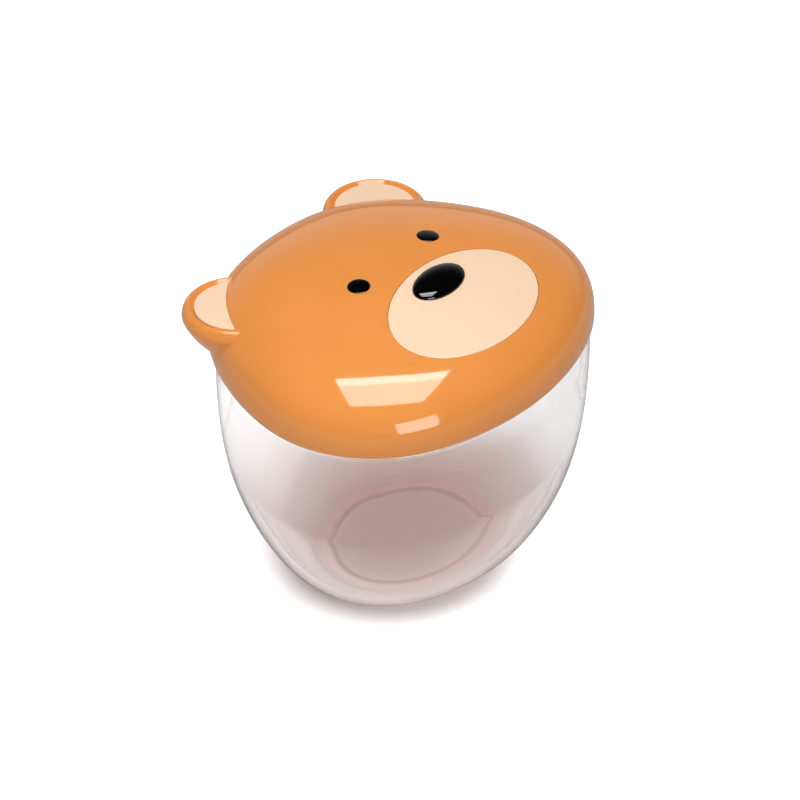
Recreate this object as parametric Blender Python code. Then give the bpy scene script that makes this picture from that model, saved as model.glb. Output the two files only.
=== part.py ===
# Bear-shaped snack container: a clear tub and a pull-off lid shaped like a plain bear's head.
# Metres, +Z up. The tub stands on Z = 0. The face looks up, the chin points to -Y and the ears to +Y.
# The origin lies under the middle of the container, and the lid lifts straight up along Z.
# The lid's pieces are modelled in the lid's own frame, whose Z = 0 is the tub's shoulder.

import math

import bmesh
import bpy
from mathutils import Quaternion, Vector

# Head outline in plan, at the lid's lower edge. The waves draw a circle out into a bear's head:
# the first moves it, the second widens it, the third fills the cheeks, the others trim the corners.
SEGMENT_COUNT = 64
HEAD_RADIUS = 0.04725
HEAD_WAVE_SHARES = (0.0, -0.063, -0.036, -0.006, 0.013)

# Lid shell: its edge swells out a little, then a soft dome rises to a crown set back from the chin
LID_WALL = 0.0022
LID_EDGE_RISE = 0.0010
LID_EDGE_SWELL = 0.0001
LID_DOME_HEIGHT = 0.0218
LID_CROWN_SHIFT = 0.0058
CROWN_PLAN_SHARE = 1.88
CROWN_HEIGHT_SHARE = 2.70

# Ears: round lobes that frame a panel, with a rounded rim above and a tapering underside.
# The panel's middle lies inside the head's outline, at a turn from the chin.
EAR_TURN = math.radians(136.2)
EAR_INSET = 0.0067
EAR_HEIGHT = 0.0129
EAR_PANEL_RADIUS = 0.0105
EAR_RIM = 0.0020
EAR_RIM_SWELL = 0.0008
EAR_RIM_LIP = 0.0004
EAR_SIDE_DROP = 0.0025
EAR_TIP_RADIUS = 0.0038
EAR_TIP_RISE = 0.0010
EAR_UNDER_PLAN_SHARE = 1.95
EAR_UNDER_HEIGHT_SHARE = 1.12

# Tub: the wall opens from a flat foot ring into a bowl and ends in a shoulder under the lid's edge
SHOULDER_HEIGHT = 0.0596
SHOULDER_SETBACK = 0.0014
EDGE_ROUND = 0.0004
TUB_WALL = 0.0024
TUB_SIDE_SHARE = 1.79
TUB_BOWL_SHARE = 3.1
FOOT_RADIUS = 0.0236
FOOT_WAVE_SHARES = (0.114, -0.077, -0.050, 0.019)
FOOT_RING = 0.0019
RECESS_DEPTH = 0.0006
FLOOR_THICKNESS = 0.0028
NECK_WALL = 0.0018
NECK_HEIGHT = 0.0050

# Face pieces, set into the dome
INLAY_THICKNESS = 0.0008
MUZZLE_WIDTH = 0.0470
MUZZLE_LENGTH = 0.0286
MUZZLE_CHIN_GAP = 0.0092
NOSE_WIDTH = 0.0170
NOSE_LENGTH = 0.0096
NOSE_MARGIN = 0.0019
NOSE_RISE = 0.0019
EYE_DIAMETER = 0.0055
EYE_SIDE = 0.0138
EYE_GAP = 0.0070
EYE_RISE = 0.0003

# Liner that closes the hollow lid, with a plug lip, and the soft seal ring in the lip's groove
LINER_THICKNESS = 0.0015
PLUG_DEPTH = 0.0066
PLUG_WALL = 0.0013
PLUG_SETBACK = 0.0009
SEAL_THICKNESS = 0.0016
SEAL_HEIGHT = 0.0024
SEAL_FIN = 0.0004

# Clearance between pieces that touch, how far a cutter runs past what it cuts, and how near two
# corners of a cut lie when they count as one
FIT_GAP = 0.0003
OVERRUN = 0.0020
WELD = 0.000002

# Steps along the rounded stretches, and points round the ears and the face pieces
TUB_STEPS = 11
DOME_STEPS = 9
ROUND_STEPS = 3
EAR_STEPS = 7
EAR_SEGMENT_COUNT = 40
FACE_SEGMENT_COUNT = 40
BISECTION_STEPS = 40
SMOOTH_ANGLE = math.radians(32)


def reach(angle, head_share):
    """Distance of the outline from its middle at an angle from the chin, and how that changes."""
    distance = slope = 0.0
    foot_share = 1 - head_share
    for radius, wave_shares, share in (
        (HEAD_RADIUS, HEAD_WAVE_SHARES, head_share),
        (FOOT_RADIUS, FOOT_WAVE_SHARES, foot_share),
    ):
        distance += share * radius
        for count, wave_share in enumerate(wave_shares, start=1):
            distance += share * radius * wave_share * math.cos(count * angle)
            slope -= share * radius * wave_share * count * math.sin(count * angle)
    return distance, slope


def outline(inset=0.0, head_share=1.0):
    """Outline in plan, counterclockwise from the chin, drawn in by the inset along its normals."""
    points = []
    for step in range(SEGMENT_COUNT):
        angle = math.tau * step / SEGMENT_COUNT
        distance, slope = reach(angle, head_share)
        out = Vector((math.sin(angle), -math.cos(angle)))
        along = Vector((math.cos(angle), math.sin(angle)))
        tangent = (out * slope + along * distance).normalized()
        points.append(out * distance - Vector((tangent.y, -tangent.x)) * inset)
    return points


def outline_middle():
    """Y of the middle of the head's widest outline, which the origin lies under."""
    places = [point.y for point in outline(-LID_EDGE_SWELL)]
    return (max(places) + min(places)) / 2


MIDDLE_Y = outline_middle()
WIDEST_REACH = max(point.length for point in outline())

# Places of the face pieces along Y: the muzzle from the chin's edge, the nose and the eyes from it
CHIN_Y = outline()[0].y - MIDDLE_Y
MUZZLE_Y = CHIN_Y + MUZZLE_CHIN_GAP + MUZZLE_LENGTH / 2
MUZZLE_BACK_Y = MUZZLE_Y + MUZZLE_LENGTH / 2
NOSE_Y = MUZZLE_BACK_Y - NOSE_MARGIN - NOSE_LENGTH / 2
EYE_Y = MUZZLE_BACK_Y + EYE_GAP


def ring(height, inset=0.0, head_share=1.0, size_share=1.0):
    """One level of a shell: the outline at a share of its size, closing towards the crown."""
    shift = LID_CROWN_SHIFT * (1 - size_share) - MIDDLE_Y
    return [
        Vector((point.x * size_share, point.y * size_share + shift, height))
        for point in outline(inset, head_share)
    ]


def ellipse(width, length, height, count, centre=(0.0, 0.0)):
    """One level of an ear or a face piece."""
    return [
        Vector(
            (
                centre[0] + width / 2 * math.cos(math.tau * step / count),
                centre[1] + length / 2 * math.sin(math.tau * step / count),
                height,
            )
        )
        for step in range(count)
    ]


def edges_round(shape, corners):
    """Edges of a closed run of corners, made where they aren't there yet."""
    pairs = zip(corners, corners[1:] + corners[:1])
    return [shape.edges.get(pair) or shape.edges.new(pair) for pair in pairs]


def extrude_to(shape, corners, points):
    """Extrudes a closed run of corners to the next ring of points, corner by corner."""
    made = bmesh.ops.extrude_edge_only(shape, edges=edges_round(shape, corners))["geom"]
    fresh = {item for item in made if isinstance(item, bmesh.types.BMVert)}
    following = []
    for corner, point in zip(corners, points):
        ends = [edge.other_vert(corner) for edge in corner.link_edges]
        copy = next(end for end in ends if end in fresh)
        copy.co = point
        following.append(copy)
    return following


def loft(name, rings, tip=None, closed=False):
    """Object skinned over rings of points. Its ends are capped, or joined where it is closed."""
    shape = bmesh.new()
    first = [shape.verts.new(point) for point in rings[0]]
    last = first
    for points in rings[1:]:
        last = extrude_to(shape, last, points)
    if closed:
        bmesh.ops.bridge_loops(shape, edges=edges_round(shape, first) + edges_round(shape, last))
    else:
        for corners in (first, last):
            cap = bmesh.ops.contextual_create(shape, geom=edges_round(shape, corners))["faces"]
            middle = bmesh.ops.poke(shape, faces=cap)["verts"][0]
        if tip:
            middle.co = tip
    bmesh.ops.recalc_face_normals(shape, faces=shape.faces)
    if shape.calc_volume(signed=True) < 0:
        bmesh.ops.reverse_faces(shape, faces=shape.faces)
    mesh = bpy.data.meshes.new(name)
    shape.to_mesh(mesh)
    shape.free()
    made = bpy.data.objects.new(name, mesh)
    bpy.context.scene.collection.objects.link(made)
    return made


def guide(shape):
    """Marks a shape that only cuts or bounds another one."""
    shape.hide_render = True
    shape.display_type = "WIRE"
    return shape


def combine(piece, operation, *others):
    """Boolean modifiers on a piece, one for each other shape."""
    for other in others:
        modifier = piece.modifiers.new(other.name, "BOOLEAN")
        modifier.operation = operation
        modifier.solver = "EXACT"
        modifier.object = other
    return piece


def material(name, color, roughness, transmission=0.0, ior=1.5):
    """Plain plastic or soft rubber finish."""
    made = bpy.data.materials.new(name)
    made.use_nodes = True
    shader = made.node_tree.nodes["Principled BSDF"]
    shader.inputs["Base Color"].default_value = (*color, 1.0)
    shader.inputs["Roughness"].default_value = roughness
    shader.inputs["Metallic"].default_value = 0.0
    shader.inputs["Transmission Weight"].default_value = transmission
    shader.inputs["IOR"].default_value = ior
    made.diffuse_color = (*color, 1.0)
    return made


# Dome of the lid

def crown_size(height_share):
    """Share of the dome's plan size left at a share of its height."""
    return (1 - height_share**CROWN_HEIGHT_SHARE) ** (1 / CROWN_PLAN_SHARE)


def crown_height(size_share):
    """Share of the dome's height reached at a share of its plan size."""
    return (1 - size_share**CROWN_PLAN_SHARE) ** (1 / CROWN_HEIGHT_SHARE)


def dome_height(inset=0.0):
    return LID_DOME_HEIGHT - inset


def lid_form(name, inset=0.0, low=FIT_GAP):
    """Solid of the lid's domed outside, drawn in by the inset, from a low level up to its crown."""
    rings = [ring(low, inset)]
    for step in range(1, ROUND_STEPS):
        share = step / ROUND_STEPS
        swell = LID_EDGE_SWELL * (1 - (1 - share) ** 2)
        rings.append(ring(low + (LID_EDGE_RISE - low) * share, inset - swell))
    for step in range(DOME_STEPS + 1):
        turn = math.pi / 2 * step / (DOME_STEPS + 1)
        size_share = math.cos(turn) ** (2 / CROWN_PLAN_SHARE)
        rise = dome_height(inset) * math.sin(turn) ** (2 / CROWN_HEIGHT_SHARE)
        rings.append(ring(LID_EDGE_RISE + rise, inset - LID_EDGE_SWELL, size_share=size_share))
    crown = Vector((0.0, LID_CROWN_SHIFT - MIDDLE_Y, LID_EDGE_RISE + dome_height(inset)))
    return loft(name, rings, tip=crown)


def inner_size(height):
    """Plan share of the shell's inside at a height in the lid's frame."""
    rise = max(height - LID_EDGE_RISE, 0.0) / dome_height(LID_WALL)
    return crown_size(rise)


def dome_at(x, y):
    """Height of the dome's outside over a point in plan, found by halving the plan share."""
    low, high = 0.0, 1.0
    for _ in range(BISECTION_STEPS):
        share = (low + high) / 2
        place = Vector((x, y + MIDDLE_Y - LID_CROWN_SHIFT * (1 - share)))
        edge = reach(math.atan2(place.x, -place.y), 1.0)[0] + LID_EDGE_SWELL
        if place.length > share * edge:
            low = share
        else:
            high = share
    return LID_EDGE_RISE + dome_height() * crown_height(low)


def seat(piece, x, y, width, length):
    """Stands a face piece on the dome, square to it over the piece's own width and length."""
    lean_x = (dome_at(x + width / 2, y) - dome_at(x - width / 2, y)) / width
    lean_y = (dome_at(x, y + length / 2) - dome_at(x, y - length / 2)) / length
    normal = Vector((-lean_x, -lean_y, 1.0)).normalized()
    upright = Vector((0.0, 0.0, 1.0))
    turn = upright.rotation_difference(normal) if normal != upright else Quaternion()
    piece.location = (x, y, dome_at(x, y))
    piece.rotation_mode = "QUATERNION"
    piece.rotation_quaternion = turn
    return piece


def ear_centre(side):
    """Middle of an ear's panel in plan."""
    distance = reach(EAR_TURN, 1.0)[0] - EAR_INSET
    return side * distance * math.sin(EAR_TURN), -distance * math.cos(EAR_TURN) - MIDDLE_Y


# Fits that the tub, the liner and the seal share

def neck_inset():
    """Inset of the neck's outside, clear of the lid's wall and of the dome above it."""
    draw_in = (WIDEST_REACH + LID_CROWN_SHIFT) * (1 - inner_size(NECK_HEIGHT))
    return LID_WALL + draw_in + FIT_GAP


NECK_INSET = neck_inset()
MOUTH_INSET = NECK_INSET + NECK_WALL
SEAL_INSET = MOUTH_INSET + FIT_GAP
GROOVE_INSET = SEAL_INSET + SEAL_THICKNESS + FIT_GAP
PLUG_INSET = MOUTH_INSET + PLUG_SETBACK
PLUG_HOLLOW_INSET = GROOVE_INSET + PLUG_WALL
SEAL_MIDDLE = NECK_HEIGHT / 2
PLATE_LOW = NECK_HEIGHT + FIT_GAP
PLATE_HIGH = PLATE_LOW + LINER_THICKNESS


def make_tub():
    """Clear moulding: foot ring and recess, bowl, shoulder, neck, then back down the inside."""
    rings = [
        ring(RECESS_DEPTH, FOOT_RING + RECESS_DEPTH, head_share=0.0),
        ring(0.0, FOOT_RING, head_share=0.0),
        ring(0.0, head_share=0.0),
    ]
    profile = []
    for step in range(TUB_STEPS + 1):
        turn = math.pi / 2 * (1 - step / TUB_STEPS)
        share = math.cos(turn) ** (2 / TUB_SIDE_SHARE) if step else 0.0
        profile.append((share, SHOULDER_HEIGHT * (1 - math.sin(turn) ** (2 / TUB_BOWL_SHARE))))
    for share, height in profile[1:-1]:
        rings.append(ring(height, SHOULDER_SETBACK * share, head_share=share))
    top = SHOULDER_HEIGHT + NECK_HEIGHT
    rings += [
        ring(SHOULDER_HEIGHT - EDGE_ROUND, SHOULDER_SETBACK),
        ring(SHOULDER_HEIGHT, SHOULDER_SETBACK + EDGE_ROUND),
        ring(SHOULDER_HEIGHT, NECK_INSET),
        ring(top - EDGE_ROUND, NECK_INSET),
        ring(top, NECK_INSET + EDGE_ROUND),
        ring(top, MOUTH_INSET - EDGE_ROUND),
        ring(top - EDGE_ROUND, MOUTH_INSET),
        ring(SHOULDER_HEIGHT, MOUTH_INSET),
    ]
    floor = RECESS_DEPTH + FLOOR_THICKNESS
    widening = HEAD_RADIUS - FOOT_RADIUS
    for step in range(TUB_STEPS - 1, 0, -1):
        share, height = profile[step]
        across = widening * (profile[step + 1][0] - profile[step - 1][0])
        up = profile[step + 1][1] - profile[step - 1][1]
        slant = math.hypot(across, up)
        inset = SHOULDER_SETBACK * share + TUB_WALL * up / slant
        # The mould's core pulls straight out, so the inside is nowhere wider than the mouth.
        inset = max(inset, MOUTH_INSET - widening * (1 - share))
        level = height + TUB_WALL * across / slant
        rings.append(ring(max(level, floor), inset, head_share=share))
        if level < floor:
            break
    return loft("tub", rings)


def ear_form(name, side, inset=0.0, top=None):
    """Solid of one ear, drawn in by the inset: tapering underside, swollen side, rounded rim."""
    crest = EAR_PANEL_RADIUS + EAR_RIM / 2 - inset
    widest = EAR_PANEL_RADIUS + EAR_RIM + EAR_RIM_SWELL - inset
    tip = EAR_TIP_RADIUS - inset / 2
    side_height = EAR_HEIGHT - EAR_SIDE_DROP
    low = EAR_TIP_RISE + inset
    levels = []
    for step in range(EAR_STEPS + 1):
        turn = math.pi / 2 * (1 - step / EAR_STEPS)
        out = math.cos(turn) ** (2 / EAR_UNDER_PLAN_SHARE) if step else 0.0
        down = math.sin(turn) ** (2 / EAR_UNDER_HEIGHT_SHARE)
        levels.append((tip + (widest - tip) * out, side_height - (side_height - low) * down))
    rise = EAR_SIDE_DROP + EAR_RIM_LIP
    for step in range(1, ROUND_STEPS + 1):
        turn = math.pi / 2 * step / ROUND_STEPS
        radius = crest + (widest - crest) * math.cos(turn)
        levels.append((radius, side_height + rise * math.sin(turn)))
    if top is not None:
        levels = [level for level in levels if level[1] < top]
        levels.append((levels[-1][0], top))
    rings = [
        ellipse(2 * radius, 2 * radius, height, EAR_SEGMENT_COUNT, ear_centre(side))
        for radius, height in levels
    ]
    return loft(name, rings)


def ear_panel(name, side, low, high, gap):
    """Round panel of one ear between two heights, wider by the gap."""
    width = 2 * (EAR_PANEL_RADIUS + gap)
    centre = ear_centre(side)
    levels = [ellipse(width, width, height, EAR_SEGMENT_COUNT, centre) for height in (low, high)]
    return loft(name, levels)


def oval_post(name, width, length, low, high, centre=(0.0, 0.0)):
    """Straight oval post between two heights."""
    return loft(name, [ellipse(width, length, z, FACE_SEGMENT_COUNT, centre) for z in (low, high)])


def oval_button(name, width, length, low, rise):
    """Oval post that ends in a rounded crown."""
    levels = [ellipse(width, length, low, FACE_SEGMENT_COUNT)]
    for step in range(ROUND_STEPS + 1):
        turn = math.pi / 2 * step / (ROUND_STEPS + 1)
        size_share = math.cos(turn)
        levels.append(
            ellipse(width * size_share, length * size_share, rise * math.sin(turn), FACE_SEGMENT_COUNT)
        )
    return loft(name, levels, tip=Vector((0.0, 0.0, rise)))


def make_shell(recess_floor):
    """Lid shell: head and ears in one moulding, hollow inside, with seats for the face pieces."""
    shell = lid_form("lid_shell")
    crown = LID_EDGE_RISE + LID_DOME_HEIGHT
    ears, cuts = [], [guide(lid_form("dome_hollow", LID_WALL, -OVERRUN))]
    seat_floor = EAR_HEIGHT - INLAY_THICKNESS - FIT_GAP
    for name, side in (("left", -1), ("right", 1)):
        ear = guide(ear_form(f"ear_{name}_form", side))
        panel_seat = guide(ear_panel(f"ear_{name}_seat", side, seat_floor, crown, FIT_GAP))
        ears.append(combine(ear, "DIFFERENCE", panel_seat))
        cuts.append(guide(ear_form(f"ear_{name}_hollow", side, LID_WALL, seat_floor - LID_WALL)))
        pocket_width = EYE_DIAMETER + 2 * FIT_GAP
        pocket = oval_post(
            f"eye_{name}_seat", pocket_width, pocket_width, -INLAY_THICKNESS - FIT_GAP, OVERRUN
        )
        cuts.append(guide(seat(pocket, side * EYE_SIDE, EYE_Y, EYE_DIAMETER, EYE_DIAMETER)))
    muzzle = oval_post(
        "muzzle_seat",
        MUZZLE_WIDTH + 2 * FIT_GAP,
        MUZZLE_LENGTH + 2 * FIT_GAP,
        LID_EDGE_RISE,
        crown + OVERRUN,
        (0.0, MUZZLE_Y),
    )
    cuts.append(combine(guide(muzzle), "DIFFERENCE", recess_floor))
    combine(shell, "UNION", *ears)
    return combine(shell, "DIFFERENCE", *cuts)


def make_muzzle(outside, inlay_floor):
    """Oval muzzle, flush with the dome, with a hole that the nose stands in."""
    high = LID_EDGE_RISE + LID_DOME_HEIGHT + OVERRUN
    muzzle = oval_post(
        "muzzle_inlay", MUZZLE_WIDTH, MUZZLE_LENGTH, LID_EDGE_RISE, high, (0.0, MUZZLE_Y)
    )
    hole = guide(
        oval_post(
            "nose_hole",
            NOSE_WIDTH + 2 * FIT_GAP,
            NOSE_LENGTH + 2 * FIT_GAP,
            -INLAY_THICKNESS - OVERRUN,
            NOSE_RISE + OVERRUN,
        )
    )
    seat(hole, 0.0, NOSE_Y, NOSE_WIDTH, NOSE_LENGTH)
    combine(muzzle, "INTERSECT", outside)
    return combine(muzzle, "DIFFERENCE", inlay_floor, hole)


def make_nose(inlay_floor):
    """Raised nose, whose foot follows the dome under the muzzle."""
    nose = oval_button("nose", NOSE_WIDTH, NOSE_LENGTH, -INLAY_THICKNESS - OVERRUN, NOSE_RISE)
    seat(nose, 0.0, NOSE_Y, NOSE_WIDTH, NOSE_LENGTH)
    return combine(nose, "DIFFERENCE", inlay_floor)


def make_eye(name, side):
    eye = oval_button(name, EYE_DIAMETER, EYE_DIAMETER, -INLAY_THICKNESS, EYE_RISE)
    return seat(eye, side * EYE_SIDE, EYE_Y, EYE_DIAMETER, EYE_DIAMETER)


def make_ear_inlay(name, side, outside_wide):
    inlay = ear_panel(name, side, EAR_HEIGHT - INLAY_THICKNESS, EAR_HEIGHT, 0.0)
    return combine(inlay, "DIFFERENCE", outside_wide)


def make_liner():
    """Plate that closes the shell from below, with a plug lip that has a groove for the seal."""
    groove_low = SEAL_MIDDLE - SEAL_HEIGHT / 2 - FIT_GAP
    groove_high = SEAL_MIDDLE + SEAL_HEIGHT / 2 + FIT_GAP
    plug_low = PLATE_LOW - PLUG_DEPTH
    edge_inset = LID_WALL - LID_EDGE_SWELL + FIT_GAP
    rings = [
        ring(PLATE_HIGH, edge_inset, size_share=inner_size(PLATE_HIGH)),
        ring(PLATE_LOW, edge_inset, size_share=inner_size(PLATE_LOW)),
        ring(PLATE_LOW, PLUG_INSET),
        ring(groove_high, PLUG_INSET),
        ring(groove_high, GROOVE_INSET),
        ring(groove_low, GROOVE_INSET),
        ring(groove_low, PLUG_INSET),
        ring(plug_low + EDGE_ROUND, PLUG_INSET),
        ring(plug_low, PLUG_INSET + EDGE_ROUND),
        ring(plug_low, PLUG_HOLLOW_INSET),
        ring(PLATE_LOW, PLUG_HOLLOW_INSET),
    ]
    return loft("lid_liner", rings)


def make_seal():
    """Soft ring with two fins that touch the neck's inside."""
    low = SEAL_MIDDLE - SEAL_HEIGHT / 2
    face = (SEAL_FIN, 0.0, SEAL_FIN, 0.0, SEAL_FIN)
    section = [(step / (len(face) - 1), depth) for step, depth in enumerate(face)]
    section = [(0.0, SEAL_THICKNESS), *section, (1.0, SEAL_THICKNESS)]
    rings = [ring(low + SEAL_HEIGHT * share, SEAL_INSET + depth) for share, depth in section]
    return loft("seal_ring", rings, closed=True)


def settle(piece):
    """Turns a piece's modifiers into plain mesh, closed, and smooth between its real edges."""
    graph = bpy.context.evaluated_depsgraph_get()
    shape = bmesh.new()
    shape.from_object(piece, graph)
    piece.modifiers.clear()
    bmesh.ops.remove_doubles(shape, verts=shape.verts, dist=WELD)
    bmesh.ops.holes_fill(shape, edges=shape.edges)
    mesh = piece.data
    shape.to_mesh(mesh)
    shape.free()
    mesh.shade_smooth()
    mesh.set_sharp_from_angle(angle=SMOOTH_ANGLE)


def main():
    for leftover in list(bpy.data.objects):
        bpy.data.objects.remove(leftover)

    orange = material("glossy_orange", (0.80, 0.35, 0.10), 0.12)
    beige = material("glossy_beige", (0.93, 0.70, 0.50), 0.25)
    black = material("glossy_black", (0.010, 0.009, 0.009), 0.08)
    clear = material("clear_plastic", (0.95, 0.96, 0.96), 0.03, transmission=1.0, ior=1.57)
    satin = material("satin_orange", (0.80, 0.35, 0.10), 0.30)
    rubber = material("soft_seal", (0.80, 0.80, 0.78), 0.55)

    outside = guide(lid_form("dome_outside", low=-OVERRUN))
    outside_wide = guide(lid_form("dome_outside_wide", -FIT_GAP, -OVERRUN))
    inlay_floor = guide(lid_form("dome_inlay_floor", INLAY_THICKNESS, -OVERRUN))
    recess_floor = guide(lid_form("dome_recess_floor", INLAY_THICKNESS + FIT_GAP, -OVERRUN))
    lid_pieces = [
        (make_shell(recess_floor), orange),
        (make_muzzle(outside, inlay_floor), beige),
        (make_nose(inlay_floor), black),
        (make_eye("eye_left", -1), black),
        (make_eye("eye_right", 1), black),
        (make_ear_inlay("ear_inlay_left", -1, outside_wide), beige),
        (make_ear_inlay("ear_inlay_right", 1, outside_wide), beige),
        (make_liner(), satin),
        (make_seal(), rubber),
    ]
    tub = make_tub()

    pieces = [(tub, clear), *lid_pieces]
    for piece, _ in pieces:
        settle(piece)
    for helper in [shape for shape in bpy.data.objects if shape.hide_render]:
        bpy.data.objects.remove(helper)

    lid = bpy.data.objects.new("lid", None)
    bpy.context.scene.collection.objects.link(lid)
    lid.location = (0.0, 0.0, SHOULDER_HEIGHT)
    for piece, _ in lid_pieces:
        piece.parent = lid
    for piece, finish in pieces:
        piece.data.materials.clear()
        piece.data.materials.append(finish)


main()
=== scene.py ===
import math

import bmesh
import bpy
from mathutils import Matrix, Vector
from mathutils.kdtree import KDTree


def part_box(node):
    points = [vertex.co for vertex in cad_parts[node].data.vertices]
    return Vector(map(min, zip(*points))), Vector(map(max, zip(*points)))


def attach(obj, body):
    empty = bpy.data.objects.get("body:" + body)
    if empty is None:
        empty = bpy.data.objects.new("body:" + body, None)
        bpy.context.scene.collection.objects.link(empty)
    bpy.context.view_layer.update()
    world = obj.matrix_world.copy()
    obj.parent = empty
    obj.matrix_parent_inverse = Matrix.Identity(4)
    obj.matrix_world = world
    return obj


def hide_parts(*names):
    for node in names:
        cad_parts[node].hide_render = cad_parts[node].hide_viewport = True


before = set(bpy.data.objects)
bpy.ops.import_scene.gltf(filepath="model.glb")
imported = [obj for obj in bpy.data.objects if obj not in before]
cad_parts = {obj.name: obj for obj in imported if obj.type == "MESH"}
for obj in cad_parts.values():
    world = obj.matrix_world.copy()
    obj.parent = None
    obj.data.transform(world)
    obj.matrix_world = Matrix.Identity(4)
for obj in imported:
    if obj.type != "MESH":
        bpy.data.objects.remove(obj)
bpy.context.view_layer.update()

# sizes in metres, in the frame's own axes: the face looks up and the chin points to -Y
head = {"radius": 0.04725, "waveShares": (0.0, -0.063, -0.036, -0.006, 0.013), "points": 192}
foot = {"radius": 0.0236, "waveShares": (0.114, -0.077, -0.050, 0.019)}
fitGap = 0.0003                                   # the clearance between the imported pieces
lidSwell = 0.0001                                 # how far the lid's side swells past its edge
overrun = 0.002                                   # how far a cutting shape runs past what it cuts
weldGap = 0.000001
creaseAngle = -0.2                                # radians, under nought where an edge is concave
plainSmooth = 35.0                                # degrees, past which an edge stays sharp
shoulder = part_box("lid_shell")[0].z - fitGap      # the tub's shoulder, which the lid stands on
camera = {"turn": -52.6845, "rise": 35.865, "distance": 1.040, "lens": 188.08, "sensor": 36.0,
          "aim": (0.00182, 0.00023, 0.03919)}


# the head's outline, which the lid, the tub, the liner and the seal share

def reach(angle, headShare=1.0):
    distance = slope = 0.0
    for plan, share in ((head, headShare), (foot, 1 - headShare)):
        distance += share * plan["radius"]
        for count, wave in enumerate(plan["waveShares"], start=1):
            distance += share * plan["radius"] * wave * math.cos(count * angle)
            slope -= share * plan["radius"] * wave * count * math.sin(count * angle)
    return distance, slope


def outline(inset=0.0, headShare=1.0, chinMore=0.0):    # counterclockwise from the chin, before centring
    points = []
    for step in range(head["points"]):
        angle = math.tau * step / head["points"]
        distance, slope = reach(angle, headShare)
        away = Vector((math.sin(angle), -math.cos(angle)))
        along = Vector((math.cos(angle), math.sin(angle)))
        tangent = (away * slope + along * distance).normalized()
        outwards = Vector((tangent.y, -tangent.x))
        points.append(away * distance - outwards * (inset - chinMore * math.cos(angle)))
    return points


headPlaces = [point.y for point in outline(-lidSwell)]
middleY = (max(headPlaces) + min(headPlaces)) / 2


def level(height, inset=0.0, headShare=1.0, chinMore=0.0):    # the outline at a height, in the frame
    return [Vector((p.x, p.y - middleY, height)) for p in outline(inset, headShare, chinMore)]


def oval(width, length, height, count, middle=(0.0, 0.0)):
    turns = [math.tau * step / count for step in range(count)]
    return [
        Vector((middle[0] + width / 2 * math.cos(t), middle[1] + length / 2 * math.sin(t), height))
        for t in turns
    ]


# modelling helpers: a ring is laid out from a circle, and then grown ring by ring

def deselect():
    bpy.ops.object.select_all(action="DESELECT")


def pick(piece):
    deselect()
    piece.select_set(True)
    bpy.context.view_layer.objects.active = piece


def quarter(steps, start=0):                      # how far a quarter round has come, and what is left
    for step in range(start, steps + 1):
        turn = math.pi / 2 * step / steps
        yield 1 - math.cos(turn), 1 - math.sin(turn)


def startRing(name, points):
    deselect()
    bpy.ops.mesh.primitive_circle_add(vertices=len(points), radius=head["radius"])
    piece = bpy.context.object
    piece.name = piece.data.name = name
    for vertex, point in zip(piece.data.vertices, points):
        vertex.co = point
    bpy.ops.object.mode_set(mode="EDIT")
    shape = bmesh.from_edit_mesh(piece.data)
    place = shape.verts.layers.int.new("place")
    for vertex in shape.verts:
        vertex[place] = vertex.index
    bpy.ops.mesh.select_all(action="SELECT")
    return piece


def growTo(points):                               # extrudes the last ring onto the points
    bpy.ops.mesh.extrude_edges_move()
    shape = bmesh.from_edit_mesh(bpy.context.object.data)
    place = shape.verts.layers.int["place"]
    for vertex in shape.verts:
        if vertex.select:
            vertex.co = points[vertex[place]]


def growBy(rise, share, middle):                  # extrudes the last ring up and draws it in
    bpy.ops.mesh.extrude_edges_move(TRANSFORM_OT_translate={"value": (0.0, 0.0, rise)})
    bpy.ops.transform.resize(value=(share, share, 1.0), center_override=(*middle, 0.0))


def finishMesh(piece, smooth=plainSmooth):
    bpy.ops.object.mode_set(mode="EDIT")
    bpy.ops.mesh.select_all(action="SELECT")
    bpy.ops.mesh.normals_make_consistent(inside=False)
    bpy.ops.object.mode_set(mode="OBJECT")
    shadeSmooth(piece, smooth)
    return piece


def shadeSmooth(piece, angle):
    pick(piece)
    bpy.ops.object.shade_smooth_by_angle(angle=math.radians(angle))


def fillHoles():
    bpy.ops.mesh.select_all(action="SELECT")
    bpy.ops.mesh.fill_holes(sides=0)


def weld():
    bpy.ops.mesh.select_all(action="SELECT")
    bpy.ops.mesh.remove_doubles(threshold=weldGap)


def cut(piece, tool, operation="DIFFERENCE"):     # a Boolean that is applied at once
    pick(piece)
    modifier = piece.modifiers.new("cut", "BOOLEAN")
    modifier.operation = operation
    modifier.solver = "EXACT"
    modifier.object = tool
    bpy.ops.object.modifier_apply(modifier=modifier.name)


def soften(piece, low, high, width, rounds):      # rounds the concave crease between two joined forms
    pick(piece)
    bpy.ops.object.mode_set(mode="EDIT")
    bpy.ops.mesh.select_mode(type="VERT")
    bpy.ops.mesh.select_all(action="DESELECT")
    shape = bmesh.from_edit_mesh(piece.data)
    crease = []
    for edge in shape.edges:
        middle = (edge.verts[0].co + edge.verts[1].co) / 2
        if low < middle.z < high and edge.calc_face_angle_signed(0.0) < creaseAngle:
            crease += [edge.verts[0].co, edge.verts[1].co, middle]
    tree = KDTree(len(crease))
    for number, place in enumerate(crease):
        tree.insert(place, number)
    tree.balance()
    for vertex in shape.verts:
        if low < vertex.co.z < high and tree.find(vertex.co)[2] < width:
            vertex.select = True
    shape.select_flush(True)
    bpy.ops.mesh.vertices_smooth(factor=0.5, repeat=rounds)
    bpy.ops.object.mode_set(mode="OBJECT")


def discard(*tools):
    for tool in tools:
        bpy.data.objects.remove(tool)


def wear(piece, body, slot, finish, *nodes):      # the piece takes its finish and rides its body
    piece.data.materials.clear()
    piece.data.materials.append(finish)
    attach(piece, body)
    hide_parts(*nodes)


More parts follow.
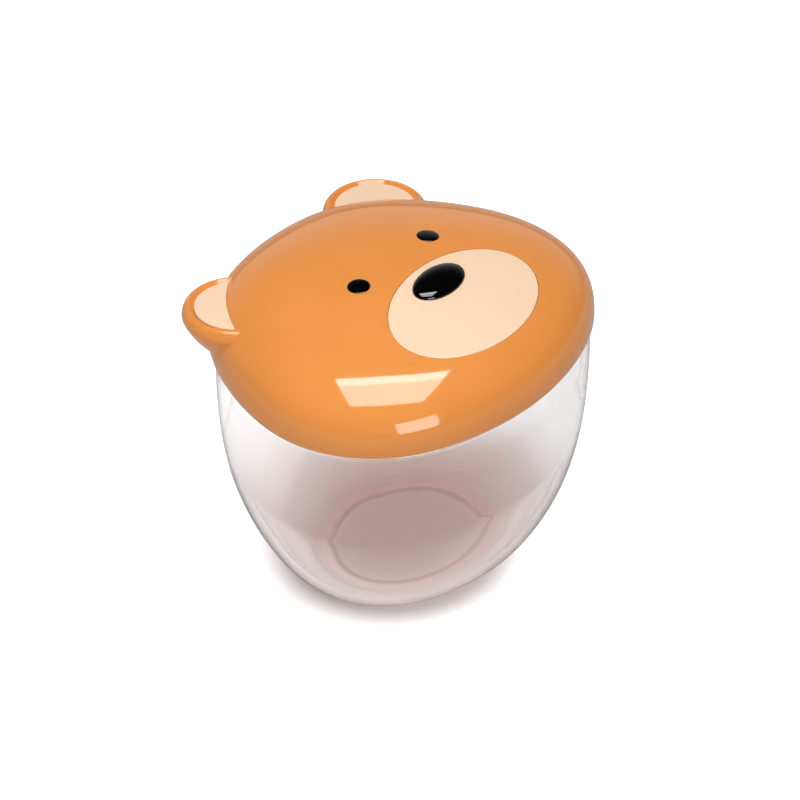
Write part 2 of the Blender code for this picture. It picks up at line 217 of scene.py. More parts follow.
# the lid's shell: a hollow dome, two hollow ears, and the seats of the face pieces

dome = {
    "wall": 0.0022, "edgeRise": 0.0010, "edgeSwell": lidSwell, "edgeRound": 0.0004, "roundSteps": 4,
    "crownShift": 0.0058, "planShare": 1.88, "heightShare": 2.70, "steps": 46, "halvings": 36,
    "smooth": 32.0,
}
dome["height"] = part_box("lid_shell")[1].z - shoulder - dome["edgeRise"]
crownMiddle = (0.0, dome["crownShift"] - middleY)


def domeSolid(name, inset=0.0, low=fitGap, edgeRound=0.0):
    piece = startRing(name, level(shoulder + low, inset + edgeRound))
    if edgeRound:
        for gone, left in quarter(dome["roundSteps"], 1):
            growTo(level(shoulder + low + edgeRound * gone, inset + edgeRound * left))
    growTo(level(shoulder + dome["edgeRise"], inset - dome["edgeSwell"]))
    height, size = 0.0, 1.0
    for step in range(1, dome["steps"]):
        turn = math.pi / 2 * step / dome["steps"]
        nextSize = math.cos(turn) ** (2 / dome["planShare"])
        nextHeight = (dome["height"] - inset) * math.sin(turn) ** (2 / dome["heightShare"])
        growBy(nextHeight - height, nextSize / size, crownMiddle)
        height, size = nextHeight, nextSize
    growBy(dome["height"] - inset - height, 1.0, crownMiddle)
    bpy.ops.mesh.merge(type="CENTER")
    fillHoles()
    return finishMesh(piece)


def domeAt(x, y):                                 # height of the dome's outside over a place in plan
    low, high = 0.0, 1.0
    for _ in range(dome["halvings"]):
        share = (low + high) / 2
        place = Vector((x, y + middleY - dome["crownShift"] * (1 - share)))
        edge = reach(math.atan2(place.x, -place.y))[0] + dome["edgeSwell"]
        if place.length > share * edge:
            low = share
        else:
            high = share
    rise = (1 - low ** dome["planShare"]) ** (1 / dome["heightShare"])
    return shoulder + dome["edgeRise"] + dome["height"] * rise


def domeTurn(x, y, width, length):                # how the dome leans under a face piece
    leanX = (domeAt(x + width / 2, y) - domeAt(x - width / 2, y)) / width
    leanY = (domeAt(x, y + length / 2) - domeAt(x, y - length / 2)) / length
    return Vector((0.0, 0.0, 1.0)).rotation_difference(Vector((-leanX, -leanY, 1.0)))


def seatOnDome(piece, x, y, width, length):
    piece.location = (x, y, domeAt(x, y))
    piece.rotation_mode = "QUATERNION"
    piece.rotation_quaternion = domeTurn(x, y, width, length)
    pick(piece)
    bpy.ops.object.transform_apply(location=True, rotation=True, scale=True)


ear = {
    "turn": math.radians(136.2), "inset": 0.0067, "height": 0.0129, "panelRadius": 0.0102,
    "rim": 0.0023, "rimSwell": 0.0008, "rimLip": 0.0004, "rimSteps": 8, "sideDrop": 0.0025,
    "tipRadius": 0.0038, "tipRise": 0.0010, "underPlanShare": 1.95, "underHeightShare": 1.12,
    "lipRound": 0.0004, "lipDrop": 2.2, "lipSteps": 5, "points": 112, "steps": 20,
    "blend": 0.0016, "blendFrom": 0.0015, "blendBelow": 0.0006, "blendRounds": 14,
    "panelThickness": 0.0008, "panelGap": 0.00012, "panelRound": 0.00012, "panelSteps": 4,
    "panelSmooth": 50.0,
}


def earMiddle(side):
    distance = reach(ear["turn"])[0] - ear["inset"]
    return side * distance * math.sin(ear["turn"]), -distance * math.cos(ear["turn"]) - middleY


def earProfile(inset=0.0):                        # radius and height, from the tip up to the rim's crest
    crest = ear["panelRadius"] + ear["rim"] / 2 - inset
    widest = ear["panelRadius"] + ear["rim"] + ear["rimSwell"] - inset
    tip = ear["tipRadius"] - inset / 2
    sideHeight = ear["height"] - ear["sideDrop"]
    low = ear["tipRise"] + inset
    profile = []
    for step in range(ear["steps"] + 1):
        turn = math.pi / 2 * (1 - step / ear["steps"])
        out = math.cos(turn) ** (2 / ear["underPlanShare"]) if step else 0.0
        down = math.sin(turn) ** (2 / ear["underHeightShare"])
        profile.append((tip + (widest - tip) * out, sideHeight - (sideHeight - low) * down))
    rise = ear["sideDrop"] + ear["rimLip"]
    for step in range(1, ear["rimSteps"] + 1):
        turn = math.pi / 2 * step / ear["rimSteps"]
        profile.append((crest + (widest - crest) * math.cos(turn), sideHeight + rise * math.sin(turn)))
    return profile


def turned(name, profile, middle):                # a round form from its radii and heights
    radius, height = profile[0]
    piece = startRing(name, oval(2 * radius, 2 * radius, shoulder + height, ear["points"], middle))
    for nextRadius, nextHeight in profile[1:]:
        growBy(nextHeight - height, nextRadius / radius, middle)
        radius, height = nextRadius, nextHeight
    fillHoles()
    return finishMesh(piece)


def earSolid(name, side):
    profile = earProfile()
    crest, top = profile[-1]
    seat = ear["panelRadius"] + ear["panelGap"]
    width = crest - seat
    for step in range(1, ear["lipSteps"] + 1):    # the rim rounds over to the panel
        turn = math.pi / 2 * step / ear["lipSteps"]
        fall = ear["lipRound"] * (1 - math.cos(turn)) * ear["lipDrop"]
        profile.append((seat + width * math.cos(turn), top - fall))
    profile.append((seat, ear["height"] - ear["panelThickness"] - ear["panelGap"]))
    return turned(name, profile, earMiddle(side))


def earHollow(name, side):
    top = ear["height"] - ear["panelThickness"] - fitGap - dome["wall"]
    profile = [(r, h) for r, h in earProfile(dome["wall"]) if h < top]
    profile.append((profile[-1][0], top))
    return turned(name, profile, earMiddle(side))


muzzle = {
    "width": 0.0470, "length": 0.0286, "chinGap": 0.0092, "thickness": 0.0007, "seatTop": 0.03,
    "gap": 0.00014, "edgeRound": 0.00012, "roundSteps": 4, "points": 144, "rings": 26, "backRings": 8,
    "smooth": 50.0,
}
nose = {
    "width": 0.0170, "length": 0.0096, "margin": 0.0019, "rise": 0.0019, "depth": 0.0006,
    "points": 96, "rings": 22, "smooth": 60.0,
}
eye = {
    "width": 0.0055, "length": 0.0055, "side": 0.0138, "gap": 0.0070, "rise": 0.0003, "depth": 0.0006,
    "seam": 0.00007, "points": 64, "rings": 12, "smooth": 60.0,
}
chinY = outline()[0].y - middleY
muzzle["y"] = chinY + muzzle["chinGap"] + muzzle["length"] / 2
muzzleBack = muzzle["y"] + muzzle["length"] / 2
nose["y"] = muzzleBack - nose["margin"] - nose["length"] / 2
eye["y"] = muzzleBack + eye["gap"]


def post(name, width, length, low, high, count, middle=(0.0, 0.0)):
    piece = startRing(name, oval(width, length, low, count, middle))
    growBy(high - low, 1.0, middle)
    fillHoles()
    return finishMesh(piece)


def makeShell(finish):
    piece = domeSolid("lidShell", edgeRound=dome["edgeRound"])
    for side, word in ((-1, "Left"), (1, "Right")):
        lobe = earSolid("ear" + word, side)
        cut(piece, lobe, "UNION")
        discard(lobe)
    blendTop = ear["height"] - ear["sideDrop"] - ear["blendBelow"]
    soften(piece, shoulder + ear["blendFrom"], shoulder + blendTop, ear["blend"], ear["blendRounds"])
    hollow = domeSolid("lidHollow", dome["wall"], -overrun)
    cut(piece, hollow)
    for side in (-1, 1):
        pocket = earHollow("earHollow", side)
        cut(piece, pocket)
        discard(pocket)
    around = 2 * muzzle["gap"]
    floor = domeSolid("muzzleFloor", muzzle["thickness"] + around, -overrun)
    seat = post("muzzleSeat", muzzle["width"] + around, muzzle["length"] + around,
                shoulder, shoulder + muzzle["seatTop"], muzzle["points"], (0.0, muzzle["y"]))
    cut(seat, floor)
    cut(piece, seat)
    for side in (-1, 1):
        width = eye["width"] + 2 * eye["seam"]
        hole = post("eyeSeat", width, width, -eye["depth"] - eye["seam"], overrun, eye["points"])
        seatOnDome(hole, side * eye["side"], eye["y"], eye["width"], eye["length"])
        cut(piece, hole)
        discard(hole)
    discard(hollow, floor, seat)
    shadeSmooth(piece, dome["smooth"])
    wear(piece, "lid", "orange_plastic", finish, "lid_shell")
    print("lid shell:", len(piece.data.polygons), "faces")


def makeMuzzle(finish):
    count, rounding = muzzle["points"], muzzle["edgeRound"]

    def ringAt(share, lift, shrink=0.0):          # from the muzzle's edge, 0, to the nose's foot, 1
        width, length = muzzle["width"] - 2 * shrink, muzzle["length"] - 2 * shrink
        outer = oval(width, length, 0.0, count, (0.0, muzzle["y"]))
        inner = oval(nose["width"] - 4 * fitGap, nose["length"] - 4 * fitGap, 0.0, count, (0.0, nose["y"]))
        points = [a.lerp(b, share) for a, b in zip(outer, inner)]
        return [Vector((p.x, p.y, domeAt(p.x, p.y) + lift)) for p in points]

    piece = startRing("muzzle", ringAt(1.0, -muzzle["thickness"]))
    for step in range(muzzle["rings"]):
        growTo(ringAt(1.0 - step / muzzle["rings"], 0.0, rounding))
    for gone, left in quarter(muzzle["roundSteps"]):
        growTo(ringAt(0.0, -rounding * gone, rounding * left))
    growTo(ringAt(0.0, -muzzle["thickness"]))
    for step in range(1, muzzle["backRings"] + 1):
        growTo(ringAt(step / muzzle["backRings"], -muzzle["thickness"]))
    weld()
    finishMesh(piece, muzzle["smooth"])
    wear(piece, "lid", "beige_plastic", finish, "muzzle_inlay")
    print("muzzle:", len(piece.data.polygons), "faces")


def makeButton(name, button, x, finish, node):    # the nose or an eye: a low dome on an upright foot
    middle = (0.0, 0.0)
    height, size = -button["depth"], 1.0
    piece = startRing(name, oval(button["width"], button["length"], height, button["points"]))
    for step in range(button["rings"]):
        turn = math.pi / 2 * step / button["rings"]
        nextHeight, nextSize = button["rise"] * math.sin(turn), math.cos(turn)
        growBy(nextHeight - height, nextSize / size, middle)
        height, size = nextHeight, nextSize
    growBy(button["rise"] - height, 1.0, middle)
    bpy.ops.mesh.merge(type="CENTER")
    fillHoles()
    finishMesh(piece, button["smooth"])
    seatOnDome(piece, x, button["y"], button["width"], button["length"])
    wear(piece, "lid", "black_plastic", finish, node)


def makeEarPanel(side, word, finish, keepOut):
    edge = ear["panelRound"]
    top, low = ear["height"], ear["height"] - ear["panelThickness"]
    radius = ear["panelRadius"]
    profile = [(radius, low)]
    for gone, left in quarter(ear["panelSteps"]):
        profile.append((radius - edge * gone, top - edge * left))
    piece = turned("earPanel" + word, profile, earMiddle(side))
    cut(piece, keepOut)
    shadeSmooth(piece, ear["panelSmooth"])
    wear(piece, "lid", "beige_plastic", finish, "ear_inlay_" + word.lower())


# the clear tub, from the recess in its base up to the neck and down again inside

tub = {
    "setback": 0.0010, "chinMore": 0.0004, "wall": 0.0024, "sideShare": 1.79, "bowlShare": 3.1,
    "footRing": 0.0019, "recess": 0.00024, "recessSlope": 0.0030, "floor": 0.0028, "neckWall": 0.0018,
    "neckHeight": 0.0050, "round": 0.0004, "roundSteps": 4,
    "rimHeight": 0.0006, "rimOut": 0.0004, "rimSlope": 0.6, "rimSteps": 6, "rimHold": (0.2, 0.05),
    "slopeSteps": 10, "steps": 54, "smooth": 40.0,
    # painted shade: how strongly the dark line at the foot ring shows, ring by ring
    "shadeLineShares": {4: 0.5, 5: 1.0, 6: 0.6, 7: 1.0, 8: 0.5},          # by ring, from the base's middle
}


def innerSize(height):                            # plan share of the lid's inside at a height
    rise = max(height - dome["edgeRise"], 0.0) / (dome["height"] - dome["wall"])
    return (1 - rise ** dome["heightShare"]) ** (1 / dome["planShare"])


widestReach = max(point.length for point in outline())
neckInset = dome["wall"] + (widestReach + dome["crownShift"]) * (1 - innerSize(tub["neckHeight"])) + fitGap
mouthInset = neckInset + tub["neckWall"]


def makeTub(finish):
    ring, recess, rounding = tub["footRing"], tub["recess"], tub["round"]
    setback, rimOut, corner = tub["setback"], tub["rimOut"], tub["roundSteps"]
    piece = startRing("clearTub", level(recess, ring + tub["recessSlope"], 0.0))
    for step in range(1, tub["slopeSteps"] + 1):  # the recess slopes softly down to the foot ring
        share = step / tub["slopeSteps"]
        drop = (1 - math.cos(math.pi * step / tub["slopeSteps"])) / 2
        growTo(level(recess * (1 - drop), ring + tub["recessSlope"] * (1 - share), 0.0))
    growTo(level(0.0, 0.0, 0.0))
    profile = []
    for step in range(tub["steps"] + 1):
        turn = math.pi / 2 * (1 - step / tub["steps"])
        share = math.cos(turn) ** (2 / tub["sideShare"]) if step else 0.0
        profile.append((share, shoulder * (1 - math.sin(turn) ** (2 / tub["bowlShare"]))))
    rimFoot = shoulder - tub["rimHeight"]
    for share, height in profile[1:-1]:
        if height < rimFoot - rimOut:
            growTo(level(height, setback * share, share, tub["chinMore"] * share))
    for gap in tub["rimHold"]:                    # holds the wall straight up to the rim
        growTo(level(rimFoot - rimOut * (tub["rimSlope"] + gap), setback, 1.0, tub["chinMore"]))
    for step in range(tub["rimSteps"] + 1):       # a slim rim stands out under the lid's edge
        out = (1 - math.cos(math.pi * step / tub["rimSteps"])) / 2
        height = rimFoot - rimOut * (1 - step / tub["rimSteps"]) * tub["rimSlope"]
        growTo(level(height, setback - rimOut * out, 1.0, tub["chinMore"] * (1 - out)))
    for gone, left in quarter(corner):
        growTo(level(shoulder - rounding * left, setback - rimOut + rounding * gone))
    growTo(level(shoulder, neckInset))
    top = shoulder + tub["neckHeight"]
    for gone, left in quarter(corner):
        growTo(level(top - rounding * left, neckInset + rounding * gone))
    for gone, left in quarter(corner):
        growTo(level(top - rounding * gone, mouthInset - rounding * left))
    growTo(level(shoulder, mouthInset))
    floor = recess + tub["floor"]
    widening = head["radius"] - foot["radius"]
    for step in range(tub["steps"] - 1, 0, -1):
        share, height = profile[step]
        across = widening * (profile[step + 1][0] - profile[step - 1][0])
        up = profile[step + 1][1] - profile[step - 1][1]
        slant = math.hypot(across, up)
        inset = max(setback * share + tub["wall"] * up / slant, mouthInset - widening * (1 - share))
        inside = height + tub["wall"] * across / slant
        if inside > shoulder - rounding:
            continue
        growTo(level(max(inside, floor), inset, share, tub["chinMore"] * share))
        if inside < floor:
            break
    fillHoles()
    finishMesh(piece, tub["smooth"])
    shadeLine = piece.data.attributes.new("footShadeLine", "FLOAT", "POINT")
    for vertex in piece.data.vertices:            # painted shade: a faint dark line on the slope inside the foot ring
        shadeLine.data[vertex.index].value = tub["shadeLineShares"].get(vertex.index // head["points"], 0.0)
    wear(piece, "tub", "clear_plastic", finish, "tub")
    print("tub:", len(piece.data.polygons), "faces")


# the liner that closes the lid from below, with the plug and its seal

plug = {
    "thickness": 0.0015, "depth": 0.0066, "wall": 0.0013, "setback": 0.0009, "round": 0.0003,
    "roundSteps": 4, "smooth": 35.0, "sealThickness": 0.0016, "sealHeight": 0.0024, "sealSmooth": 40.0,
    "fin": 0.0004, "finSteps": 32, "finShape": 0.8,
}


def makeLiner(finish):
    plugInset = mouthInset + plug["setback"]
    groove = mouthInset + 2 * fitGap + plug["sealThickness"]
    hollow = groove + plug["wall"]
    middle = shoulder + tub["neckHeight"] / 2
    half = plug["sealHeight"] / 2 + fitGap
    low = shoulder + tub["neckHeight"] + fitGap
    high = low + plug["thickness"]
    bottom = low - plug["depth"]
    edge = dome["wall"] - dome["edgeSwell"] + fitGap
    rounding = plug["round"]

    def plate(height):                            # the plate follows the dome's inside
        share = innerSize(height - shoulder)
        shift = dome["crownShift"] * (1 - share) - middleY
        return [Vector((p.x * share, p.y * share + shift, height)) for p in outline(edge)]

    piece = startRing("liner", plate(high))
    growTo(plate(low))
    for height, inset in ((low, plugInset), (middle + half, plugInset), (middle + half, groove),
                          (middle - half, groove), (middle - half, plugInset)):
        growTo(level(height, inset))
    for gone, left in quarter(plug["roundSteps"]):
        growTo(level(bottom + rounding * left, plugInset + rounding * gone))
    for gone, left in quarter(plug["roundSteps"]):
        growTo(level(bottom + rounding * gone, hollow - rounding * left))
    growTo(level(low, hollow))
    fillHoles()
    finishMesh(piece, plug["smooth"])
    wear(piece, "lid", "satin_orange", finish, "lid_liner")
    print("liner:", len(piece.data.polygons), "faces")


def makeSeal(finish):
    low = shoulder + (tub["neckHeight"] - plug["sealHeight"]) / 2
    outside = mouthInset + fitGap / 2
    rings = []
    for step in range(plug["finSteps"] + 1):      # two round fins, one over the other
        share = step / plug["finSteps"]
        depth = plug["fin"] * (1 - abs(math.sin(math.tau * share)) ** plug["finShape"])
        rings.append(level(low + plug["sealHeight"] * share, outside + depth))
    back = outside + plug["sealThickness"]
    rings.append(level(low + plug["sealHeight"], back))
    rings.append(level(low, back))
    piece = startRing("seal", rings[0])
    for points in rings[1:] + rings[:1]:
        growTo(points)
    weld()
    finishMesh(piece, plug["sealSmooth"])
    wear(piece, "lid", "seal_rubber", finish, "seal_ring")
    print("seal:", len(piece.data.polygons), "faces")


# finishes

class Wire:                                       # a node's output that sums can be written with
    def __init__(self, finish, socket):
        self.finish = finish
        self.socket = socket

    def sum(self, operation, first, second):
        return self.finish.node("ShaderNodeMath", {"operation": operation}, {0: first, 1: second})

    def __add__(self, other):
        return self.sum("ADD", self, other)

    def __radd__(self, other):
        return self.sum("ADD", other, self)

    def __sub__(self, other):
        return self.sum("SUBTRACT", self, other)

    def __rsub__(self, other):
        return self.sum("SUBTRACT", other, self)

    def __mul__(self, other):
        return self.sum("MULTIPLY", self, other)

    def __rmul__(self, other):
        return self.sum("MULTIPLY", other, self)


class Finish:
    def __init__(self, name, tree=None):
        if tree is None:
            self.material = bpy.data.materials.new(name)
            self.material.use_nodes = True
            tree = self.material.node_tree
        self.tree = tree
        self.tree.nodes.clear()

    def node(self, kind, settings=None, sockets=None, output=0):
        made = self.tree.nodes.new(kind)
        for key, value in (settings or {}).items():
            setattr(made, key, value)
        for key, value in (sockets or {}).items():
            if isinstance(value, Wire):
                self.tree.links.new(value.socket, made.inputs[key])
            else:
                made.inputs[key].default_value = value
        return Wire(self, made.outputs[output]) if made.outputs else made

    def mix(self, factor, first, second):
        return self.node("ShaderNodeMix", {"data_type": "RGBA"}, {0: factor, 6: first, 7: second}, 2)

    def noise(self, place, scale, detail):
        return self.node("ShaderNodeTexNoise", {}, {"Vector": place, "Scale": scale, "Detail": detail})

    def measure(self, operation, place, other):   # a distance or a dot product
        return self.node("ShaderNodeVectorMath", {"operation": operation}, {0: place, 1: other}, 1)

    def objectPlace(self):
        return self.node("ShaderNodeTexCoord", {}, {}, 3)

    def step(self, value, low, high, start=0.0, end=1.0):
        return self.node("ShaderNodeMapRange", {"interpolation_type": "SMOOTHSTEP"},
                         {0: value, 1: low, 2: high, 3: start, 4: end})

    def rise(self, value, low, high, most):       # from nothing to the most
        return self.step(value, low, high, 0.0, most)

    def bump(self, height, distance):
        return self.node("ShaderNodeBump", {}, {"Height": height, "Distance": distance})

    def principled(self, **sockets):
        named = {key.replace("_", " "): value for key, value in sockets.items()}
        return self.node("ShaderNodeBsdfPrincipled", {}, named)

    def surface(self, shader):
        self.node("ShaderNodeOutputMaterial", {}, {"Surface": shader})
        return self.material


def opaque(color):
    return (*color, 1.0)


rubbing = {"turn": (0.3, 0.2, 0.7), "stretch": (1.0, 14.0, 1.0), "edge": (0.66, 0.74)}


def mouldedPlastic(name, look):                   # coloured plastic, with faint flow marks and scratches
    finish = Finish(name)
    place = finish.objectPlace()
    flow = finish.noise(place, look["flowScale"], detail=2.0)
    grain = finish.noise(place, look["grainScale"], detail=3.0)
    stretched = finish.node("ShaderNodeMapping", {}, {"Vector": place, "Rotation": rubbing["turn"],
                                                      "Scale": rubbing["stretch"]})
    rub = finish.noise(stretched, look["rubScale"], detail=5.0)
    scratches = finish.step(rub, *rubbing["edge"])
    color = finish.mix(flow, opaque(look["color"]), opaque(look["deepColor"]))
    rough = look["roughness"] + flow * look["roughSpread"] + scratches * look["scratch"]
    height = flow * look["flowHeight"] + grain * look["grainHeight"]
    normal = finish.bump(height, look["bumpDistance"])
    shader = finish.principled(Base_Color=color, Roughness=rough, Normal=normal, IOR=look["ior"])
    return finish.surface(shader)


orangeLook = {
    "color": (0.83, 0.308, 0.073), "deepColor": (0.79, 0.283, 0.064), "roughness": 0.055,
    "roughSpread": 0.03, "scratch": 0.08, "flowScale": 60.0, "grainScale": 1400.0, "rubScale": 90.0,
    "flowHeight": 0.5, "grainHeight": 0.02, "bumpDistance": 0.00004, "ior": 1.5,
}
beigeLook = {
    "color": (0.95, 0.69, 0.48), "deepColor": (0.93, 0.66, 0.45), "roughness": 0.16, "roughSpread": 0.05,
    "scratch": 0.08, "flowScale": 70.0, "grainScale": 1600.0, "rubScale": 90.0, "flowHeight": 0.3,
    "grainHeight": 0.03, "bumpDistance": 0.00004, "ior": 1.46,
}
blackLook = {
    "color": (0.0012, 0.0010, 0.0010), "deepColor": (0.002, 0.0016, 0.0016), "roughness": 0.05,
    "roughSpread": 0.03, "scratch": 0.06, "flowScale": 120.0, "grainScale": 2000.0, "rubScale": 120.0,
    "flowHeight": 0.3, "grainHeight": 0.02, "bumpDistance": 0.00003, "ior": 1.5,
}
linerLook = {
    "color": (0.83, 0.318, 0.075), "deepColor": (0.79, 0.292, 0.066), "roughness": 0.32, "roughSpread": 0.08,
    "scratch": 0.05, "flowScale": 80.0, "grainScale": 1800.0, "rubScale": 80.0, "flowHeight": 0.2,
    "grainHeight": 0.25, "bumpDistance": 0.00004, "ior": 1.5,
}
sealLook = {
    "color": (0.80, 0.80, 0.78), "deepColor": (0.76, 0.76, 0.74), "roughness": 0.5, "roughSpread": 0.1,
    "scratch": 0.0, "flowScale": 200.0, "grainScale": 2500.0, "rubScale": 80.0, "flowHeight": 0.2,
    "grainHeight": 0.3, "bumpDistance": 0.00003, "ior": 1.41,
}
clearLook = {
    # painted shade: the edge colour darkens the clear wall towards its silhouette, above the foot
    "color": (0.96, 0.965, 0.965), "silhouetteShade": (0.20, 0.20, 0.21), "edge": (0.80, 0.93),
    # painted shade: the dark pinkish line painted on the slope inside the foot ring
    "silhouetteShadeFrom": (0.003, 0.008), "footShadeLine": (0.66, 0.47, 0.49), "roughness": 0.012, "roughSpread": 0.02,
    "ior": 1.57, "shadow": (0.98, 0.95, 0.94), "flowScale": 35.0, "flowDistance": 0.00006,
    "hazeScale": 600.0,
}


def clearPlastic(name, look):                     # lamps and floor light pass straight through it
    finish = Finish(name)
    place = finish.objectPlace()
    flow = finish.noise(place, look["flowScale"], detail=1.5)
    haze = finish.noise(place, look["hazeScale"], detail=2.0)
    rough = look["roughness"] + haze * look["roughSpread"]
    normal = finish.bump(flow, look["flowDistance"])
    # painted shade: the clear wall is darkened towards its silhouette by the angle of view, from a little
    # above the floor up
    facing = finish.node("ShaderNodeLayerWeight", {}, {}, 1)
    height = finish.node("ShaderNodeSeparateXYZ", {}, {0: place}, 2)
    edge = finish.rise(facing, *look["edge"], 1.0) * finish.rise(height, *look["silhouetteShadeFrom"], 1.0)
    # painted shade: the dark line at the foot ring, where the base's step shows the shadowed floor
    foot = finish.node("ShaderNodeAttribute", {"attribute_name": "footShadeLine"}, {}, 2)
    body = finish.mix(foot, opaque(look["color"]), opaque(look["footShadeLine"]))
    color = finish.mix(edge, body, opaque(look["silhouetteShade"]))
    shader = finish.principled(Base_Color=color, Roughness=rough, Normal=normal,
                               IOR=look["ior"], Transmission_Weight=1.0)
    clear = finish.node("ShaderNodeBsdfTransparent", {}, {"Color": opaque(look["shadow"])})
    shadowRay = finish.node("ShaderNodeLightPath", {}, {}, 1)
    return finish.surface(finish.node("ShaderNodeMixShader", {}, {0: shadowRay, 1: shader, 2: clear}))


# floor, lamps, background and camera

stage = {
    "floorSize": 6.0, "floorColor": 0.72, "mirrorLess": 0.20,
    "shade": (-0.0067, -0.0039, 0.0), "glow": (0.0238, 0.0350, 0.70),      # the contact shadow
    # painted shade and bounce on the floor, seen only through the clear wall: dark and warm under the tub,
    # lighter further out
    "within": (0.008, 0.004, 0.0), "clearGlow": (0.012, 0.064),            # what the clear wall shows
    "paintedWarmShade": (0.20, 0.08, 0.07), "beside": (0.30, 0.26, 0.25), "beyond": (0.58, 0.53, 0.51),
    "back": (-0.45, 0.89, 0.0), "backLean": (-0.03, 0.03),
    "clearSweep": (0.26, 0.50, 1.0, 0.22), "left": (-0.606, 0.795, 0.0), "lean": (-0.6, 0.9),
    "surround": 0.46,                                                      # more light from the left
    "mirrorSweep": (0.05, 0.65, 0.60, 0.015), "behind": (0.643, 0.766, 0.0), "mirrorLean": (0.3, 0.9),
}
lamps = {
    "aim": (-0.035, -0.033, 0.068),
    "overhead": {"place": (-0.068, -0.214, 1.20), "twist": 4.0, "size": (0.91, 0.63), "level": 7.0,
                 "glint": 1.4, "strip": 0.12, "stripGlint": 5.0, "cardGap": 0.002},
    "front": {"turn": -45.0, "rise": 20.0, "distance": 1.20, "size": (0.60, 0.60), "level": 3.7,
              "shows": "light"},
    "frontGlint": {"turn": -19.6, "rise": 16.5, "distance": 1.20, "size": (0.58, 0.57), "level": 7.0,
                   "shows": "gloss"},
}


pureWhite = (1.0, 1.0, 1.0, 1.0)


def rays(finish):                                 # 1 for rays seen straight, through clear, mirrored
    path = finish.node("ShaderNodeLightPath").socket.node
    words = ("Is Camera Ray", "Is Transmission Ray", "Is Glossy Ray")
    straight, through, glossy = [Wire(finish, path.outputs[word]) for word in words]
    return straight, through, glossy * (1 - through)


def makeFloor():                                  # white, with the object's own soft shadow near it
    deselect()
    bpy.ops.mesh.primitive_plane_add(size=stage["floorSize"])
    floor = bpy.context.object
    floor.name = "floor"
    finish = Finish("floorWhite")
    straight, through, mirrored = rays(finish)
    place = finish.objectPlace()
    # painted shade and bounce: for rays through the clear wall the floor glows dark and warm near the tub,
    # for the lid's shadow and its orange bounce
    backward = finish.rise(finish.measure("DOT_PRODUCT", place, stage["back"]), *stage["backLean"], 1.0)
    around = finish.mix(backward, opaque(stage["beside"]), opaque(stage["beyond"]))
    outward = finish.rise(finish.measure("DISTANCE", place, stage["within"]), *stage["clearGlow"], 1.0)
    inside = finish.mix(outward, opaque(stage["paintedWarmShade"]), around)
    glowColor = finish.mix(through, pureWhite, inside)
    beyond = finish.rise(finish.measure("DISTANCE", place, stage["shade"]), *stage["glow"])
    grey = stage["floorColor"] - mirrored * stage["mirrorLess"]
    lit = finish.node("ShaderNodeBsdfDiffuse", {}, {"Color": grey})
    strength = straight * beyond + through
    glow = finish.node("ShaderNodeEmission", {}, {"Color": glowColor, "Strength": strength})
    floor.data.materials.append(finish.surface(finish.node("ShaderNodeAddShader", {}, {0: lit, 1: glow})))
    print("floor done")


def makeWorld():                                  # a white sweep low down, a dark room above it
    world = bpy.data.worlds.new("studio")
    bpy.context.scene.world = world
    world.use_nodes = True
    finish = Finish("studio", world.node_tree)
    toward = finish.node("ShaderNodeTexCoord", {}, {}, 0)
    up = finish.node("ShaderNodeSeparateXYZ", {}, {0: toward}, 2)
    lean = finish.measure("DOT_PRODUCT", toward, stage["left"])
    behind = finish.rise(finish.measure("DOT_PRODUCT", toward, stage["behind"]), *stage["mirrorLean"], 1.0)
    straight, through, mirrored = rays(finish)
    clearSky = through * finish.step(up, *stage["clearSweep"])
    mirrorSky = mirrored * finish.step(up, *stage["mirrorSweep"]) * behind
    light = (1 - straight - through - mirrored) * finish.rise(lean, *stage["lean"], stage["surround"])
    strength = straight + clearSky + mirrorSky + light
    sky = finish.node("ShaderNodeBackground", {}, {"Color": pureWhite, "Strength": strength})
    finish.node("ShaderNodeOutputWorld", {}, {"Surface": sky})


def direction(turn, rise):
    a, e = math.radians(turn), math.radians(rise)
    return Vector((math.sin(a) * math.cos(e), -math.cos(a) * math.cos(e), math.sin(e)))


def makeLamp(name, size, strength, place, rotation, shows="both"):
    data = bpy.data.lights.new(name, "AREA")
    data.shape = "RECTANGLE"
    data.size, data.size_y = size
    data.energy = strength * math.pi * size[0] * size[1]
    made = bpy.data.objects.new(name, data)
    bpy.context.scene.collection.objects.link(made)
    made.location = place
    made.rotation_euler = rotation
    made.visible_camera = False
    made.visible_diffuse = shows != "gloss"       # a reflector card only shows in the gloss
    made.visible_glossy = shows != "light"
    made.visible_transmission = False             # no lamp glares in the far wall of the tub


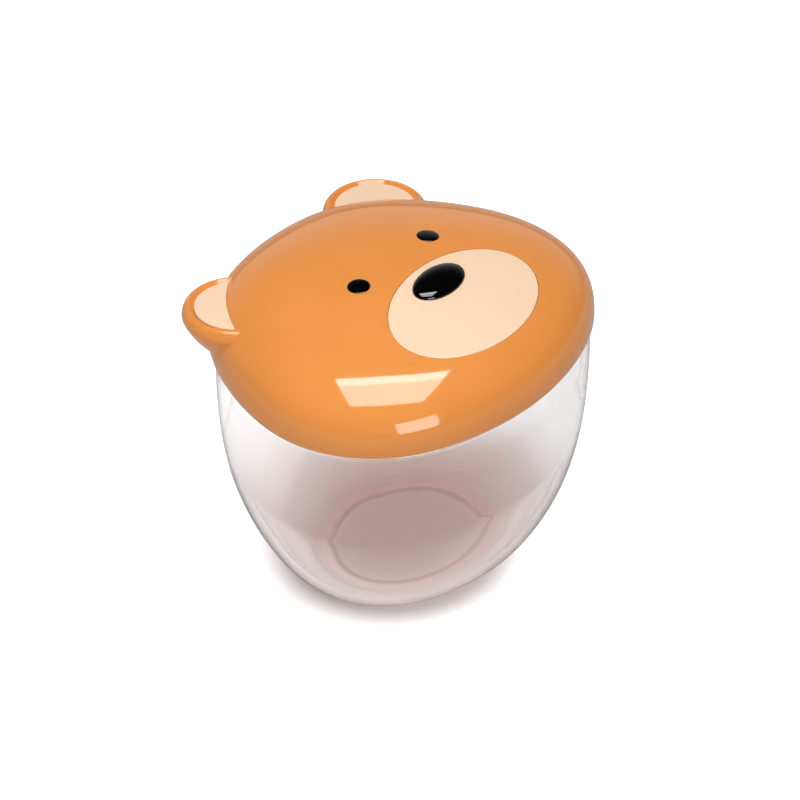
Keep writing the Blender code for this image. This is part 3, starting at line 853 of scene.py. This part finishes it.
def makeLamps():
    overhead = lamps["overhead"]
    place, size = Vector(overhead["place"]), overhead["size"]
    spin = math.radians(camera["turn"] + overhead["twist"])
    rotation = (0.0, 0.0, spin)
    below = Vector((0.0, 0.0, overhead["cardGap"]))
    makeLamp("overheadSoftbox", size, overhead["level"], place, rotation)
    makeLamp("overheadCard", size, overhead["glint"], place - below, rotation, "gloss")
    stripSize = (size[0], overhead["strip"])
    offset = (size[1] - overhead["strip"]) / 2
    back = place + Vector((-math.sin(spin), math.cos(spin), 0.0)) * offset
    makeLamp("overheadStrip", stripSize, overhead["stripGlint"], back - 2 * below, rotation, "gloss")
    for name in ("front", "frontGlint"):
        lamp = lamps[name]
        away = direction(lamp["turn"], lamp["rise"])
        rotation = away.to_track_quat("Z", "Y").to_euler()
        lampPlace = Vector(lamps["aim"]) + away * lamp["distance"]
        makeLamp(name, lamp["size"], lamp["level"], lampPlace, rotation, lamp["shows"])


def makeCamera():
    data = bpy.data.cameras.new("camera")
    data.lens = camera["lens"]
    data.sensor_width = camera["sensor"]
    made = bpy.data.objects.new("camera", data)
    bpy.context.scene.collection.objects.link(made)
    back = direction(camera["turn"], camera["rise"])
    made.location = Vector(camera["aim"]) + back * camera["distance"]
    made.rotation_euler = (math.radians(90 - camera["rise"]), 0.0, math.radians(camera["turn"]))
    bpy.context.scene.camera = made


makeCamera()
orange = mouldedPlastic("glossyOrange", orangeLook)
beige = mouldedPlastic("glossyBeige", beigeLook)
black = mouldedPlastic("glossyBlack", blackLook)
satin = mouldedPlastic("satinOrange", linerLook)
rubber = mouldedPlastic("softSeal", sealLook)
clear = clearPlastic("clearPlastic", clearLook)
print("finishes done")

makeShell(orange)
makeMuzzle(beige)
makeButton("noseButton", nose, 0.0, black, "nose")
keepOut = domeSolid("panelKeepOut", -ear["panelGap"], -overrun)
for side, word in ((-1, "Left"), (1, "Right")):
    makeButton("eye" + word, eye, side * eye["side"], black, "eye_" + word.lower())
    makeEarPanel(side, word, beige, keepOut)
discard(keepOut)
print("face and ear pieces done")
makeLiner(satin)
makeSeal(rubber)
makeTub(clear)
print("pieces done")

makeFloor()
makeWorld()
makeLamps()
bpy.context.scene.view_settings.view_transform = "Standard"
print("studio done")
